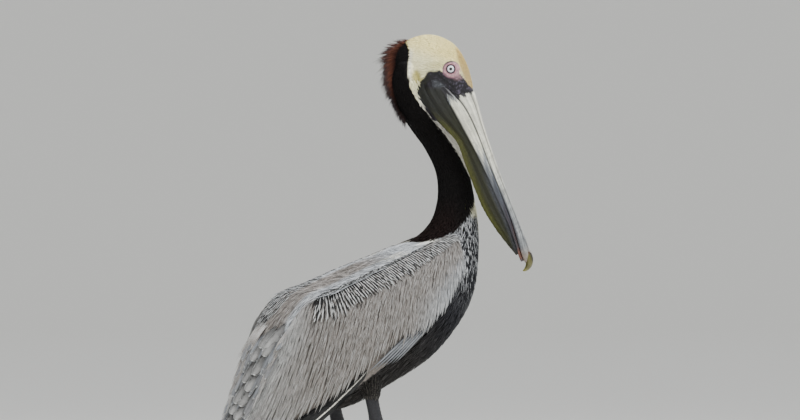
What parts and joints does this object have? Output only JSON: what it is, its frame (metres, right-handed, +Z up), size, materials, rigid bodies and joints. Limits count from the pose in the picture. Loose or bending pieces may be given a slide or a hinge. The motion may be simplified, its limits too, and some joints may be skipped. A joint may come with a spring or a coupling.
{
  "type": "brown pelican",
  "caption": "Life-size standing brown pelican with folded wings, the head turned to its right and the long pouched bill held down beside the neck.",
  "frame": {"origin": "centre of the bounding box, on the floor under the feet", "axes": "+X the way the body faces, +Y the bird's left, +Z up"},
  "size_m": [0.523, 0.2238, 0.7241],
  "materials": {
    "crown_feathers": "short dense feathers, cream yellow",
    "crest_feathers": "loose spiky feathers, red brown",
    "neck_feathers": "short velvety feathers, black brown with a white edge",
    "belly_feathers": "close feathers, dark brown, streaked silver on the breast",
    "wing_feathers": "long feathers, silver grey with dark edges",
    "flight_feathers": "stiff feathers, black with pale shafts",
    "bill_horn": "dry horn, bone grey",
    "bill_nail": "polished horn, yellow olive",
    "pouch_skin": "bare folded skin, dark olive",
    "eye": "wet, pale iris with a black pupil",
    "leg_skin": "scaly bare skin, slate",
    "claw_horn": "dull horn, near black"
  },
  "bodies": {
    "root": {"head": "crown_feathers", "eye_right": "eye", "eye_left": "eye", "crest": "crest_feathers", "neck_upper": "neck_feathers", "neck_lower": "neck_feathers", "trunk": "belly_feathers", "tail": "flight_feathers", "upper_bill": "bill_horn", "nail": "bill_nail", "lower_bill": "bill_horn", "pouch": "pouch_skin", "thigh_right": "belly_feathers", "leg_right": "leg_skin", "foot_right": "leg_skin", "claw_right_outer": "claw_horn", "claw_right_middle": "claw_horn", "claw_right_inner": "claw_horn", "claw_right_hind": "claw_horn", "thigh_left": "belly_feathers", "leg_left": "leg_skin", "foot_left": "leg_skin", "claw_left_outer": "claw_horn", "claw_left_middle": "claw_horn", "claw_left_inner": "claw_horn", "claw_left_hind": "claw_horn", "wing_right": "wing_feathers", "primaries_right": "flight_feathers", "wing_left": "wing_feathers", "primaries_left": "flight_feathers", "tertials": "wing_feathers"}
  },
  "joints": []
}
